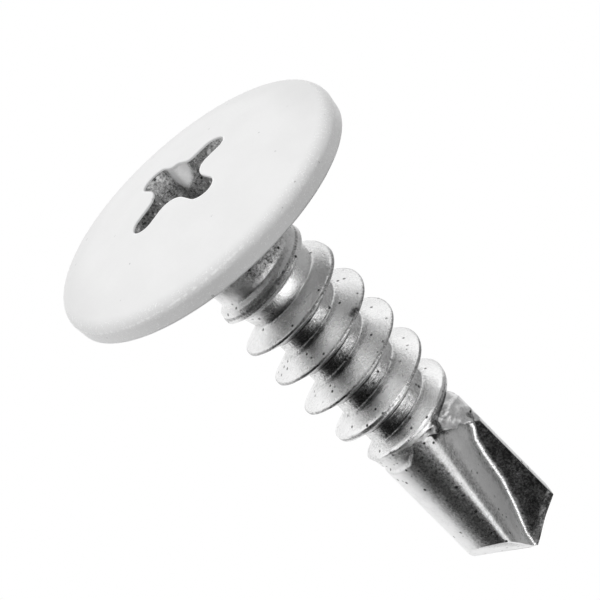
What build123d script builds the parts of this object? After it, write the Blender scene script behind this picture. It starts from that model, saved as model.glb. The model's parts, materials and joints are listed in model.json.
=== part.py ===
"""Self drilling screw with a low domed wafer head, a cross recess and a two-flute drill point.

The screw is drawn upright about the Z axis: the underside of the head is at Z = 0, the head is
below it, tilted a little about Y, and the point is at the top. The last section lays it down as
it comes to rest, on the rim of the head and on two corners of the drill point. Millimetres and
degrees.
"""

from build123d import *
import math
import os

os.makedirs("parts", exist_ok=True)

# Head, a low dome on a flat rim
head_diameter = 10.78
rim_thickness = 0.85
dome_rise = 0.9
rim_top_round = 0.3
rim_edge_round = 0.1
head_tilt = 2.0

# Cross recess, with its span and width at the level of the dome's top, and the share of each
# wing's side that the rounded corner between two wings takes up
recess_span = 4.15
recess_wing_width = 0.94
recess_corner_share = 0.6
recess_depth = 1.75
recess_tip_depth = 0.35
recess_end_draft = 26.5
recess_side_draft = 4.0
recess_angle = -15.0

# Shank, with its length from the underside of the head to the point
screw_length = 15.6
neck_diameter = 3.3
neck_fillet = 0.22

# Right-handed thread, with levels measured from the underside of the head
thread_diameter = 4.22
root_diameter = 2.62
pitch = 1.4
crest_width = 0.12
flank_angle = 28.0
crest_level = 3.4
thread_start = 1.75
thread_full_from = 4.25
thread_full_to = 7.05
thread_end = 10.25
ridge_sink = 0.13

# Waist, the rolled core between the neck and the drill
waist_start = 1.55
waist_full_from = 4.05
waist_full_to = 8.85
waist_end = 10.7

# Drill point, two flutes and two flat facets that meet in a chisel edge
drill_diameter = 3.3
facet_slope = 46.0
chisel_angle = 52.3
web_thickness = 0.2
flute_start = 10.35
flute_full_from = 11.05
flute_depth = 0.5
flute_curve = 1.7
flute_sections = 4
rake_angle = 15.0
heel_angle_top = 131.0
heel_angle_tip = 123.0

# Limits of the rest pose's sums
rest_steps = 30
corner_tolerance = 0.01

# Sizes worked out from those above
head_radius = head_diameter / 2
neck_radius = neck_diameter / 2
root_radius = root_diameter / 2
thread_radius = thread_diameter / 2
drill_radius = drill_diameter / 2
head_height = rim_thickness + dome_rise
dome_radius = (head_radius**2 + dome_rise**2) / (2 * dome_rise)


def recess_cross(depth):
    """Draw the recess's cross at a depth below the dome's top, shrunk by its two drafts."""
    span = recess_span - 2 * depth * math.tan(math.radians(recess_end_draft))
    width = recess_wing_width - 2 * depth * math.tan(math.radians(recess_side_draft))
    with BuildSketch(Plane.XY.offset(depth - head_height)) as cross:
        SlotOverall(span, width, rotation=recess_angle)
        SlotOverall(span, width, rotation=recess_angle + 90)
        inner_corners = cross.vertices().sort_by_distance((0, 0))[:4]
        fillet(inner_corners, recess_corner_share * (span / 2 - width))
    return cross.sketch


# Cross recess, from clear above the dome down to its floor and a blunt tip
with BuildPart() as recess:
    mouth = recess_cross(-dome_rise / 2)
    floor = recess_cross(recess_depth)
    tip = Vertex(0, 0, recess_depth + recess_tip_depth - head_height)
    loft(sections=[mouth, floor])
    loft(sections=[floor, tip])

# Thread ridge, a trapezium carried along a helix from inside the neck to inside the drill
flank_slope = math.tan(math.radians(flank_angle))
base_radius = root_radius - ridge_sink
tool_radius = thread_radius + crest_width / (4 * flank_slope)
half_base = crest_width / 2 + (thread_radius - base_radius) * flank_slope
half_top = crest_width / 4
helix_start = crest_level - pitch * math.ceil((crest_level - thread_start + half_base) / pitch)
ridge_turns = math.ceil((thread_end + half_base - helix_start) / pitch)
helix_end = helix_start + ridge_turns * pitch

with BuildPart() as ridge:
    with BuildLine() as helix:
        Helix(pitch, helix_end - helix_start, root_radius, center=(0, 0, helix_start))
    with BuildSketch(Plane.XZ):
        with BuildLine():
            Polyline(
                (base_radius, helix_start - half_base),
                (tool_radius, helix_start - half_top),
                (tool_radius, helix_start + half_top),
                (base_radius, helix_start + half_base),
                close=True,
            )
        make_face()
    sweep(path=helix.line, is_frenet=True)

# Envelope of the crests, which grow out of the neck and fade into the drill
with BuildPart() as envelope:
    with BuildSketch(Plane.XZ):
        with BuildLine():
            crests = Spline(
                (base_radius, helix_start - pitch),
                (neck_radius, thread_start),
                (thread_radius, thread_full_from),
                (thread_radius, (thread_full_from + thread_full_to) / 2),
                (thread_radius, thread_full_to),
                (drill_radius, thread_end),
                (base_radius, helix_end + pitch),
            )
            Polyline(crests @ 1, (0, helix_end + pitch), (0, helix_start - pitch), crests @ 0)
        make_face()
    revolve(axis=Axis.Z)


def flute_section(level, valley_radius):
    """Draw the flute's V at a level, with its valley at a radius along the rake wall."""
    share = (level - flute_start) / (screw_length - flute_start)
    heel_angle = heel_angle_top + (heel_angle_tip - heel_angle_top) * share
    reach = 4 * drill_radius
    rake = Vector(1, 0).rotate(Axis.Z, rake_angle)
    ahead = Vector(1, 0).rotate(Axis.Z, rake_angle + 90)
    heel = Vector(1, 0).rotate(Axis.Z, heel_angle)
    valley = rake * valley_radius + ahead * (web_thickness / 2)
    with BuildSketch(Plane.XY.offset(level)) as section:
        with BuildLine():
            Polyline(valley, valley + rake * reach, valley + heel * reach, close=True)
        make_face()
    return section.sketch


# Flute, a V that deepens along a curve from the drill's side to the web at its tip
with BuildPart() as flute:
    sections = []
    for number in range(flute_sections):
        share = number / (flute_sections - 1)
        level = flute_full_from + (screw_length - flute_full_from) * share
        valley_radius = (drill_radius - flute_depth) * (1 - share**flute_curve)
        sections.append(flute_section(level, valley_radius))
    loft(sections=sections)
    run_out = flute_section(flute_start, drill_radius + flute_depth / 2)
    loft(sections=[run_out, sections[0]])

# Head, a turned lens with a rounded rim
with BuildPart() as head:
    with BuildSketch(Plane.XZ) as lens:
        with BuildLine():
            dome = RadiusArc((0, -head_height), (head_radius, -rim_thickness), -dome_radius)
            Polyline(dome @ 1, (head_radius, 0), (0, 0), dome @ 0)
        make_face()
        fillet(lens.vertices().sort_by_distance((head_radius, -rim_thickness))[0], rim_top_round)
        fillet(lens.vertices().sort_by_distance((head_radius, 0))[0], rim_edge_round)
    revolve(axis=Axis.Z)

# The screw, a turned shank on the tilted head, threaded, fluted, pointed and recessed
with BuildPart() as screw:
    with BuildSketch(Plane.XZ):
        with BuildLine():
            waist = Spline(
                (neck_radius, waist_start),
                (root_radius, waist_full_from),
                (root_radius, waist_full_to),
                (drill_radius, waist_end),
                tangents=((0, 1), (0, 1)),
            )
            foot = (0, -rim_thickness / 2)
            Polyline(foot, (neck_radius, -rim_thickness / 2), waist @ 0)
            Polyline(waist @ 1, (drill_radius, screw_length), (0, screw_length), foot)
        make_face()
    revolve(axis=Axis.Z)
    add(Rot(0, -head_tilt, 0) * head.part)
    fillet(screw.edges().filter_by(GeomType.ELLIPSE), neck_fillet)
    add(ridge.part & envelope.part)
    with PolarLocations(0, 2):
        add(flute.part, mode=Mode.SUBTRACT)
    for side in (90, 270):
        facing = Vector(0, 0, 1).rotate(Axis.Y, facet_slope).rotate(Axis.Z, chisel_angle + side)
        split(bisect_by=Plane((0, 0, screw_length), z_dir=facing), keep=Keep.BOTTOM)
    add(Rot(0, -head_tilt, 0) * recess.part, mode=Mode.SUBTRACT)

# Rest pose: the head's rim and the lip and heel corners of the lower flute touch one plane
corners = screw.vertices().filter_by(
    lambda corner: corner.Z > flute_full_from
    and corner.Y < 0
    and abs(math.hypot(corner.X, corner.Y) - drill_radius) < corner_tolerance
)
heel, lip = corners.sort_by(Axis.Z)[-2:]
lip_angle = math.atan2(lip.Y, lip.X) % math.tau
heel_angle = math.atan2(heel.Y, heel.X) % math.tau
half_spread = (heel_angle - lip_angle) / 2
rim_middle = head_radius - rim_edge_round
dip = 0.0
for step in range(rest_steps):
    lead = (lip.Z - heel.Z) * math.tan(dip) / (2 * drill_radius * math.sin(half_spread))
    turn = math.asin(lead)
    down = lip_angle + half_spread + turn
    rim_rise = rim_middle * math.cos(down) * math.sin(math.radians(head_tilt))
    run = lip.Z + rim_edge_round - rim_rise
    drop = rim_middle - drill_radius * math.cos(half_spread + turn)
    dip = math.atan2(drop, run) + math.asin(rim_edge_round / math.hypot(drop, run))
down_angle = math.degrees(down)

# The shank points along +X, and the origin is the middle of the footprint
lying = Rot(0, 90 + math.degrees(dip), 0) * Rot(0, 0, -down_angle) * screw.part
bounds = lying.bounding_box()
middle = bounds.center()
lying = Pos(-middle.X, -middle.Y, -bounds.min.Z) * lying
lying.label = "screw"
export_step(lying, "parts/screw.step")
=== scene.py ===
"""Visual model of a self drilling screw with a painted wafer head.

Every shape is drawn in the screw's own frame, in millimetres: the axis is Z, the underside of the
head is at Z = 0, the head lies below it and the point lies above it. RestPose then lays the
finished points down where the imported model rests, in metres.
"""

from __future__ import annotations

import json
import logging
import math
from collections.abc import Iterable
from dataclasses import dataclass, field
from enum import Enum
from typing import NamedTuple

import bmesh
import bpy
import numpy as np
from mathutils import Matrix, Vector

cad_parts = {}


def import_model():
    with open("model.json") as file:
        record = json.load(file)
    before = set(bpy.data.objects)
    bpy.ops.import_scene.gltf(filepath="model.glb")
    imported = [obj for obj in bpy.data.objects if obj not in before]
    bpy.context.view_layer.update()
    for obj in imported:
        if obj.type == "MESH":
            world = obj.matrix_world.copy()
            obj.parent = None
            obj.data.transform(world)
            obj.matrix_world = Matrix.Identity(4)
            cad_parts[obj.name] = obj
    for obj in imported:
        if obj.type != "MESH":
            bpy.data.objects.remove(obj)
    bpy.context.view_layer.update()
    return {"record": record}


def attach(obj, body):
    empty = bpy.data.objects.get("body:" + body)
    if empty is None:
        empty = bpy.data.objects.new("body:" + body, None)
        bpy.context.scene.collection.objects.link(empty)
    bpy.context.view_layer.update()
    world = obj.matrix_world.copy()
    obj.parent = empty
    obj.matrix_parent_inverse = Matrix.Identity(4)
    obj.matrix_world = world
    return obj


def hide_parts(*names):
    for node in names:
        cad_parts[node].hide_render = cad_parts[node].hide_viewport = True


MM = 0.001
NODE = "screw"
BODY = "root"
LOG = logging.getLogger("screw")

# Tolerances: of a ring's level or angle in mm or radians, and of the final meshes in metres
RING_TOLERANCE = 1e-4
SHORTEST_WALL = 1e-6
WELD_DISTANCE = 2e-7
FLAT_EDGE = 1e-8
SHARP_ANGLE = 40.0

Number = float | np.ndarray
Faces = list[tuple[int, ...]]
Span = tuple[float, float]
Point = tuple[float, float, float]
Table = tuple[tuple[float, float], ...]


class Slot(Enum):
    """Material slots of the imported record."""

    ZINC = "zinc_plated_steel"
    PAINT = "white_paint"


class Layer(Enum):
    """Attributes of the meshes, from 0 to 1, that the finishes read."""

    # Grime with painted shade on the steel; on the coat of paint, painted highlight.
    GRIME_AND_PAINTED_LIGHT = "grime"
    MATTE = "matte"
    # Spray of paint, with painted light on one wall of the recess.
    SPRAY_AND_PAINTED_LIGHT = "spray"


def ramp(values: Number, low: Number, high: Number) -> np.ndarray:
    """Run from 0 at low to 1 at high, and stay level beyond."""
    return np.clip((values - low) / (high - low), 0, 1)


def smoothstep(values: Number, low: Number, high: Number) -> np.ndarray:
    """Ease from 0 at low to 1 at high."""
    share = ramp(values, low, high)
    return share * share * (3 - 2 * share)


def plateau(values: Number, rise: Span, fall: Span) -> np.ndarray:
    """Ease up to 1 over one span and back to 0 over another."""
    return smoothstep(values, *rise) * (1 - smoothstep(values, *fall))


def blend(first: Number, second: Number, share: Number) -> Number:
    """Mix two values, with share 0 giving the first and share 1 the second."""
    return first + (second - first) * share


def follow(values: Number, table: Table) -> np.ndarray:
    """Read a table of places and values, with straight lines between them."""
    places, results = zip(*table)
    return np.interp(values, places, results)


def polar(radius: Number, angle: Number) -> np.ndarray:
    """Flat points at a radius and an angle in radians."""
    radius, angle = np.broadcast_arrays(radius, angle)
    return np.stack([radius * np.cos(angle), radius * np.sin(angle)], axis=-1)


def unit_circle(columns: int, turn: float = 0.0) -> np.ndarray:
    """A flat circle of radius 1 that starts at an angle in radians."""
    return polar(1.0, np.arange(columns) * math.tau / columns + turn)


def from_axis(points: np.ndarray) -> np.ndarray:
    """Distance of points from the axis."""
    return np.hypot(points[..., 0], points[..., 1])


def bearing(points: np.ndarray) -> np.ndarray:
    """Angle of points about the axis, in radians."""
    return np.arctan2(points[..., 1], points[..., 0])


def ring_at(flat: np.ndarray, level: Number) -> np.ndarray:
    """Lift flat points to a level, as one ring of points."""
    return np.concatenate([flat, np.broadcast_to(level, flat.shape[:-1])[..., None]], axis=-1)


def turned_rings(circle: np.ndarray, profile: Iterable[Span]) -> list[np.ndarray]:
    """One ring for each radius and level of a profile."""
    return [ring_at(circle * radius, level) for radius, level in profile]


def linked(name: str, data: bpy.types.ID) -> bpy.types.Object:
    """Make an object of a mesh or a camera and put it in the scene.

    Args:
        name: the object's name.
        data: its mesh or camera.

    Returns:
        The object, at the origin.
    """
    made = bpy.data.objects.new(name, data)
    bpy.context.scene.collection.objects.link(made)
    return made


@dataclass(frozen=True)
class RestPose:
    """Lays the screw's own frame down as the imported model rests.

    The place comes from the mount on the head's underside and the direction from the thread's,
    and the roll about the axis is the angle, in degrees, that faces the floor.
    """

    origin: np.ndarray
    axis: np.ndarray
    down_angle: float = 245.5244

    @classmethod
    def from_record(cls, record: dict) -> RestPose:
        """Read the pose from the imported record's mounts."""
        mounts = {mount["name"]: mount for mount in record["mounts"]}
        return cls(np.array(mounts["bearing_face"]["pos_m"]), np.array(mounts["thread"]["axis"]))

    def matrix(self) -> np.ndarray:
        """Work out how the screw's frame is turned.

        Returns:
            A matrix whose columns are the frame's X, Y and Z directions in the row frame.
        """
        axis = self.axis / np.linalg.norm(self.axis)
        across = np.array([0.0, 1.0, 0.0])
        down = np.cross(across, axis)
        turn = math.radians(self.down_angle)
        first = math.cos(turn) * down - math.sin(turn) * across
        return np.stack([first, np.cross(axis, first), axis], axis=1)

    def place(self, points: np.ndarray) -> np.ndarray:
        """Turn screw-frame millimetres into row-frame metres."""
        return points @ self.matrix().T * MM + self.origin

    def own_place(self, nodes: Nodes) -> Wire:
        """Read the screw frame's coordinates in a material.

        Args:
            nodes: the material's nodes.

        Returns:
            The coordinates in millimetres.
        """
        inputs = {
            "Vector": nodes.out("ShaderNodeTexCoord", output="Object"),
            "Location": tuple(self.origin),
            "Rotation": tuple(Matrix(self.matrix().tolist()).to_euler()),
            "Scale": (MM,) * 3,
        }
        return nodes.out("ShaderNodeMapping", inputs, vector_type="TEXTURE")


@dataclass
class Skin:
    """A surface of points and faces that grows ring by ring."""

    points: list[np.ndarray] = field(default_factory=list)
    wear_and_painted_light: list[np.ndarray] = field(default_factory=list)
    faces: Faces = field(default_factory=list)

    def size(self) -> int:
        """Number of points so far."""
        return sum(len(block) for block in self.points)

    def add_points(self, points: np.ndarray, wear_and_painted_light: np.ndarray) -> None:
        """Add points with their wear, which is one number for each layer."""
        self.points.append(points)
        self.wear_and_painted_light.append(np.broadcast_to(wear_and_painted_light, (len(points), len(Layer))))

    def add_rings(self, rings: np.ndarray, wear_and_painted_light: np.ndarray) -> np.ndarray:
        """Add closed rings, joined by quads.

        Args:
            rings: points by ring, by column, by coordinate.
            wear_and_painted_light: wear by ring, by column, by layer.

        Returns:
            The index of each point, by ring and by column.
        """
        count, columns = rings.shape[:2]
        index = self.size() + np.arange(count * columns).reshape(count, columns)
        self.add_points(rings.reshape(-1, 3), wear_and_painted_light.reshape(-1, len(Layer)))
        after = np.roll(index, -1, axis=1)
        quads = np.stack([index[:-1], after[:-1], after[1:], index[1:]], axis=-1)
        self.faces.extend(map(tuple, quads.reshape(-1, 4).tolist()))
        return index

    def add_fan(self, loop: np.ndarray, tip: np.ndarray, wear_and_painted_light: np.ndarray, starts: bool) -> None:
        """Close a ring with triangles to one point.

        Args:
            loop: indices of the ring.
            tip: the point.
            wear_and_painted_light: the point's wear.
            starts: True where the surface starts at the point, False where it ends there.
        """
        centre = self.size()
        self.add_points(np.asarray(tip, float).reshape(1, 3), wear_and_painted_light)
        for here, there in zip(loop.tolist(), np.roll(loop, -1).tolist()):
            self.faces.append((centre, there, here) if starts else (centre, here, there))

    def mesh(self, name: str, pose: RestPose) -> bpy.types.Mesh:
        """Make a Blender mesh of it.

        Args:
            name: the mesh's name.
            pose: how the screw lies.

        Returns:
            The mesh, laid down in metres, with one attribute for each layer.
        """
        mesh = bpy.data.meshes.new(name)
        mesh.from_pydata(pose.place(np.concatenate(self.points)).tolist(), [], self.faces)
        mesh.update()
        wear_and_painted_light = np.concatenate(self.wear_and_painted_light)
        for number, layer in enumerate(Layer):
            values = np.ascontiguousarray(wear_and_painted_light[:, number], dtype=np.float32)
            mesh.attributes.new(layer.value, "FLOAT", "POINT").data.foreach_set("value", values)
        return mesh


class Noise(NamedTuple):
    """A noise texture's scale, detail and roughness."""

    scale: float
    detail: float
    roughness: float


@dataclass(frozen=True)
class Wire:
    """One output of a node. The usual signs do sums with it, by Math nodes."""

    nodes: Nodes
    socket: bpy.types.NodeSocket

    def __add__(self, other: Term) -> Wire:
        """The sum."""
        return self.nodes.math("ADD", self, other)

    def __sub__(self, other: Term) -> Wire:
        """The difference."""
        return self.nodes.math("SUBTRACT", self, other)

    def __rsub__(self, other: Term) -> Wire:
        """The difference, with this taken from the other."""
        return self.nodes.math("SUBTRACT", other, self)

    def __mul__(self, other: Term) -> Wire:
        """The product."""
        return self.nodes.math("MULTIPLY", self, other)

    def __truediv__(self, other: Term) -> Wire:
        """The quotient."""
        return self.nodes.math("DIVIDE", self, other)

    def __abs__(self) -> Wire:
        """The size without its sign."""
        return self.nodes.math("ABSOLUTE", self)

    def scaled(self, factor: Term, offset: Term, clamp: bool = False) -> Wire:
        """The product with an offset added."""
        return self.nodes.math("MULTIPLY_ADD", self, factor, offset, clamp=clamp)


Term = Wire | float | tuple


class Nodes:
    """Adds nodes to a tree and wires them, with plain values or wires as inputs."""

    def __init__(self, tree: bpy.types.NodeTree) -> None:
        """Keep the tree."""
        self.tree = tree

    def feed(self, socket: bpy.types.NodeSocket, value: Term) -> None:
        """Wire an input up, or set its value.

        Args:
            socket: the input.
            value: a wire or a plain value.
        """
        if isinstance(value, Wire):
            self.tree.links.new(value.socket, socket)
        else:
            socket.default_value = value

    def add(self, kind: str, inputs: dict | None = None, **settings: object) -> bpy.types.Node:
        """Add a node.

        Args:
            kind: the node's type name.
            inputs: socket name or index to value or wire.
            settings: the node's own properties.

        Returns:
            The node.
        """
        node = self.tree.nodes.new(kind)
        for name, value in settings.items():
            setattr(node, name, value)
        for name, value in (inputs or {}).items():
            self.feed(node.inputs[name], value)
        return node

    def out(self, kind: str, inputs: dict | None = None, output: str | int = 0,
            **settings: object) -> Wire:
        """Add a node and return one of its outputs."""
        return Wire(self, self.add(kind, inputs, **settings).outputs[output])

    def math(self, operation: str, *values: Term, clamp: bool = False) -> Wire:
        """Add a Math node and return its result."""
        inputs = dict(enumerate(values))
        return self.out("ShaderNodeMath", inputs, operation=operation, use_clamp=clamp)

    def span(self, value: Term, low: float, high: float, to_low: float = 0.0,
             to_high: float = 1.0) -> Wire:
        """Ease from one number to another while a value runs from low to high.

        Args:
            value: the value.
            low: where the result leaves its first number.
            high: where the result reaches its second number.
            to_low: the first number.
            to_high: the second number.

        Returns:
            The result.
        """
        inputs = {"Value": value, "From Min": low, "From Max": high,
                  "To Min": to_low, "To Max": to_high}
        return self.out("ShaderNodeMapRange", inputs, "Result", interpolation_type="SMOOTHSTEP")

    def parts(self, vector: Term) -> list[Wire]:
        """The three coordinates of a vector."""
        return [Wire(self, part) for part in self.add("ShaderNodeSeparateXYZ", {0: vector}).outputs]

    def joined(self, east: Term, north: Term, level: Term) -> Wire:
        """A vector of three coordinates."""
        return self.out("ShaderNodeCombineXYZ", {0: east, 1: north, 2: level})

    def toward(self, way: Term, direction: Point) -> Wire:
        """Cosine of the angle between a unit vector and a direction."""
        inputs = {0: way, 1: tuple(Vector(direction).normalized())}
        return self.out("ShaderNodeVectorMath", inputs, "Value", operation="DOT_PRODUCT")

    def layer(self, layer: Layer) -> Wire:
        """Read one of the mesh's attributes."""
        return self.out("ShaderNodeAttribute", output="Fac", attribute_name=layer.value)

    def noise(self, place: Term, noise: Noise, seed: Term | None = None) -> Wire:
        """Add a noise texture, with a fourth dimension where it has a seed, and return its height.

        Args:
            place: the coordinates.
            noise: the texture's numbers.
            seed: place along the fourth dimension.

        Returns:
            The height, from 0 to 1.
        """
        inputs = {"Vector": place, "Scale": noise.scale, "Detail": noise.detail,
                  "Roughness": noise.roughness}
        if seed is None:
            return self.out("ShaderNodeTexNoise", inputs)
        return self.out("ShaderNodeTexNoise", {**inputs, "W": seed}, noise_dimensions="4D")

    def dots(self, place: Term, scale: float) -> Wire:
        """Distance to the nearest of many scattered points."""
        return self.out("ShaderNodeTexVoronoi", {"Vector": place, "Scale": scale}, "Distance")

    def choose(self, share: Term, first: Term, second: Term) -> Wire:
        """Mix two numbers."""
        return self.out("ShaderNodeMix", {0: share, 2: first, 3: second}, data_type="FLOAT")

    def mix(self, share: Term, first: Term, second: Term) -> Wire:
        """Mix two colours."""
        return self.out("ShaderNodeMix", {0: share, 6: first, 7: second}, 2, data_type="RGBA")


def grey(value: float) -> tuple[float, float, float, float]:
    """A neutral colour."""
    return (value, value, value, 1.0)


@dataclass(frozen=True)
class ThreadTree:
    """Geometry Nodes that roll the thread: rows of points follow the helix, so crests stay crisp.

    The sizes are the tree's named inputs. Core and crest radii along the shank are two curves.
    """

    name: str = "rolled_thread"
    level_span: float = 12.0
    radius_span: float = 2.5
    core_points: Table = (
        (1.0, 1.65), (1.6, 1.65), (1.95, 1.65), (2.95, 1.5), (3.85, 1.31), (9.05, 1.31),
        (12.0, 1.31),
    )
    crest_points: Table = (
        (1.0, 1.4), (1.85, 1.66), (2.75, 1.88), (4.05, 2.1), (7.05, 2.11), (8.35, 1.97),
        (9.05, 1.9), (9.4, 1.78), (12.0, 1.4),
    )
    gathers_per_turn: float = 3.0
    uneven: Noise = Noise(2.2, 4.0, 0.6)
    uneven_radius: float = 1.5
    uneven_from: Span = (1.55, 2.25)
    uneven_to: Span = (9.35, 8.95)
    weld_distance: float = 0.0004

    SIZES = (
        ("Rows per Turn", "NodeSocketInt"),
        ("Columns", "NodeSocketInt"),
        ("Turns", "NodeSocketInt"),
        ("First Crest", "NodeSocketFloat"),
        ("Pitch", "NodeSocketFloat"),
        ("Start", "NodeSocketFloat"),
        ("End", "NodeSocketFloat"),
        ("Thread Radius", "NodeSocketFloat"),
        ("Crest Width", "NodeSocketFloat"),
        ("Flank Slope", "NodeSocketFloat"),
        ("Crest Round", "NodeSocketFloat"),
        ("Root Round", "NodeSocketFloat"),
        ("Gathering", "NodeSocketFloat"),
        ("Unevenness", "NodeSocketFloat"),
        ("Seed", "NodeSocketFloat"),
        ("Material", "NodeSocketMaterial"),
    )

    def along(self, level: Wire, points: Table) -> Wire:
        """Follow a curve along the shank.

        Args:
            level: the level of each point.
            points: levels and radii of the curve.

        Returns:
            The curve's radius at each level.
        """
        curve = level.nodes.add("ShaderNodeFloatCurve", {"Value": level / self.level_span})
        line = curve.mapping.curves[0]
        while len(line.points) < len(points):
            line.points.new(0.5, 0.5)
        for point, (at, radius) in zip(line.points, points):
            point.location = (at / self.level_span, radius / self.radius_span)
        curve.mapping.update()
        return Wire(level.nodes, curve.outputs[0]) * self.radius_span

    def wind(self, nodes: Nodes, sizes: dict[str, Wire]) -> tuple[Wire, Wire, Wire]:
        """Wind a grid up the helix, with its rows gathered in places and cut off at both ends.

        Args:
            nodes: the tree's nodes.
            sizes: the tree's inputs.

        Returns:
            The flat grid, and the share of a turn and the level of each of its points.
        """
        grid = nodes.out("GeometryNodeMeshGrid", {
            "Size X": sizes["Turns"],
            "Size Y": 1.0,
            "Vertices X": sizes["Turns"].scaled(sizes["Rows per Turn"], 1.0),
            "Vertices Y": sizes["Columns"] + 1.0,
        })
        east, north, _ = nodes.parts(nodes.out("GeometryNodeInputPosition"))
        turns = sizes["Turns"].scaled(0.5, east)
        around = north + 0.5
        wave = nodes.math("SINE", turns * math.tau * self.gathers_per_turn)
        gathered = turns - wave * (sizes["Gathering"] / (self.gathers_per_turn * math.tau))
        raw = (gathered + around).scaled(sizes["Pitch"], sizes["First Crest"])
        level = nodes.math("MINIMUM", nodes.math("MAXIMUM", raw, sizes["Start"]), sizes["End"])
        return grid, around, level

    def profile(self, nodes: Nodes, sizes: dict[str, Wire], around: Wire, level: Wire) -> Wire:
        """Shape the thread: a tooth held down to the line of the crests, on the core.

        Args:
            nodes: the tree's nodes.
            sizes: the tree's inputs.
            around: each point's share of a turn.
            level: each point's level.

        Returns:
            The radius of each point.
        """
        lead = (level - sizes["First Crest"]) / sizes["Pitch"] - around
        off = abs(lead - nodes.math("ROUND", lead))
        away = off.scaled(sizes["Pitch"], sizes["Crest Width"] * -0.5)
        fall = nodes.math("MAXIMUM", away, 0.0) / sizes["Flank Slope"]
        tooth = sizes["Thread Radius"] - fall
        crest = self.along(level, self.crest_points)
        core = self.along(level, self.core_points)
        ridge = nodes.math("SMOOTH_MIN", tooth, crest, sizes["Crest Round"])
        return nodes.math("SMOOTH_MAX", core, ridge, sizes["Root Round"])

    def build(self) -> bpy.types.NodeTree:
        """Build the tree.

        Returns:
            The tree, for a modifier on any object.
        """
        tree = bpy.data.node_groups.new(self.name, "GeometryNodeTree")
        for name, kind in self.SIZES:
            tree.interface.new_socket(name, in_out="INPUT", socket_type=kind)
        tree.interface.new_socket("Geometry", in_out="OUTPUT", socket_type="NodeSocketGeometry")
        nodes = Nodes(tree)
        inputs = nodes.add("NodeGroupInput").outputs
        sizes = {name: Wire(nodes, inputs[name]) for name, _ in self.SIZES}

        grid, around, level = self.wind(nodes, sizes)
        radius = self.profile(nodes, sizes, around, level)
        angle = around * math.tau
        east, north = nodes.math("COSINE", angle), nodes.math("SINE", angle)
        spot = nodes.joined(east * self.uneven_radius, north * self.uneven_radius, level)
        wander = nodes.noise(spot, self.uneven, sizes["Seed"])
        calm = nodes.span(level, *self.uneven_from) * nodes.span(level, *self.uneven_to)
        radius = radius + (wander - 0.5) * sizes["Unevenness"] * calm

        target = nodes.joined(east * radius, north * radius, level)
        made = nodes.out("GeometryNodeSetPosition", {"Geometry": grid, "Position": target})
        made = nodes.out("GeometryNodeMergeByDistance",
                         {"Geometry": made, "Distance": self.weld_distance})
        made = nodes.out("GeometryNodeFlipFaces", {"Mesh": made})
        made = nodes.out("GeometryNodeSetShadeSmooth", {"Geometry": made})
        made = nodes.out("GeometryNodeRealizeInstances", {"Geometry": made})
        made = nodes.out("GeometryNodeSetMaterial",
                         {"Geometry": made, "Material": sizes["Material"]})
        nodes.add("NodeGroupOutput", {0: made})
        return tree


@dataclass
class Thread:
    """The threaded part of the shank, from the neck to just short of the drill point."""

    columns: int = 216
    rows_per_turn: int = 38
    start: float = 1.5
    end: float = 9.35
    pitch: float = 1.4
    crest_level: float = 3.4
    thread_radius: float = 2.11
    crest_width: float = 0.07
    flank_angle: float = 28.0
    crest_round: float = 0.05
    root_round: float = 0.12
    gathering: float = 0.6
    unevenness: float = 0.03
    seed: float = 3.7

    def flank_slope(self) -> float:
        """How far along the axis a flank runs for each step outwards."""
        return math.tan(math.radians(self.flank_angle))

    def from_crest(self, level: np.ndarray, angle: np.ndarray) -> np.ndarray:
        """Distance along the axis to the middle of the nearest crest."""
        lead = (level - self.crest_level) / self.pitch - angle / math.tau
        return np.abs(lead - np.round(lead)) * self.pitch

    def roll(self, material: bpy.types.Material) -> tuple[np.ndarray, Faces]:
        """Run the Geometry Nodes.

        Args:
            material: the finish that the tree sets.

        Returns:
            Points in the screw frame, and faces.
        """
        before = math.ceil((self.crest_level + self.pitch - self.start) / self.pitch)
        first = self.crest_level - self.pitch * before
        sizes = {
            "Rows per Turn": self.rows_per_turn,
            "Columns": self.columns,
            "Turns": math.ceil((self.end - first) / self.pitch),
            "First Crest": first,
            "Pitch": self.pitch,
            "Start": self.start,
            "End": self.end,
            "Thread Radius": self.thread_radius,
            "Crest Width": self.crest_width,
            "Flank Slope": self.flank_slope(),
            "Crest Round": self.crest_round,
            "Root Round": self.root_round,
            "Gathering": self.gathering,
            "Unevenness": self.unevenness,
            "Seed": self.seed,
            "Material": material,
        }
        tree = ThreadTree().build()
        blank = linked("thread_blank", bpy.data.meshes.new("thread_blank"))
        roller = blank.modifiers.new("roller", "NODES")
        roller.node_group = tree
        for item in tree.interface.items_tree:
            if item.in_out == "INPUT":
                roller[item.identifier] = sizes[item.name]
        graph = bpy.context.evaluated_depsgraph_get()
        rolled = bpy.data.meshes.new_from_object(blank.evaluated_get(graph))
        blank.modifiers.remove(roller)
        bpy.data.objects.remove(blank)
        points = np.empty(len(rolled.vertices) * 3)
        rolled.vertices.foreach_get("co", points)
        faces = [tuple(face.vertices) for face in rolled.polygons]
        bpy.data.meshes.remove(rolled)
        return points.reshape(-1, 3), faces

    def rim(self, points: np.ndarray, level: float) -> np.ndarray:
        """Find the ring of points at a level.

        Args:
            points: the rolled thread's points.
            level: the level of its first or last ring.

        Returns:
            The ring, sorted by angle.
        """
        ring = points[np.abs(points[:, 2] - level) < RING_TOLERANCE]
        angle = bearing(ring) % math.tau
        angle[angle > math.tau - RING_TOLERANCE] = 0
        return ring[np.argsort(angle)]


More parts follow.
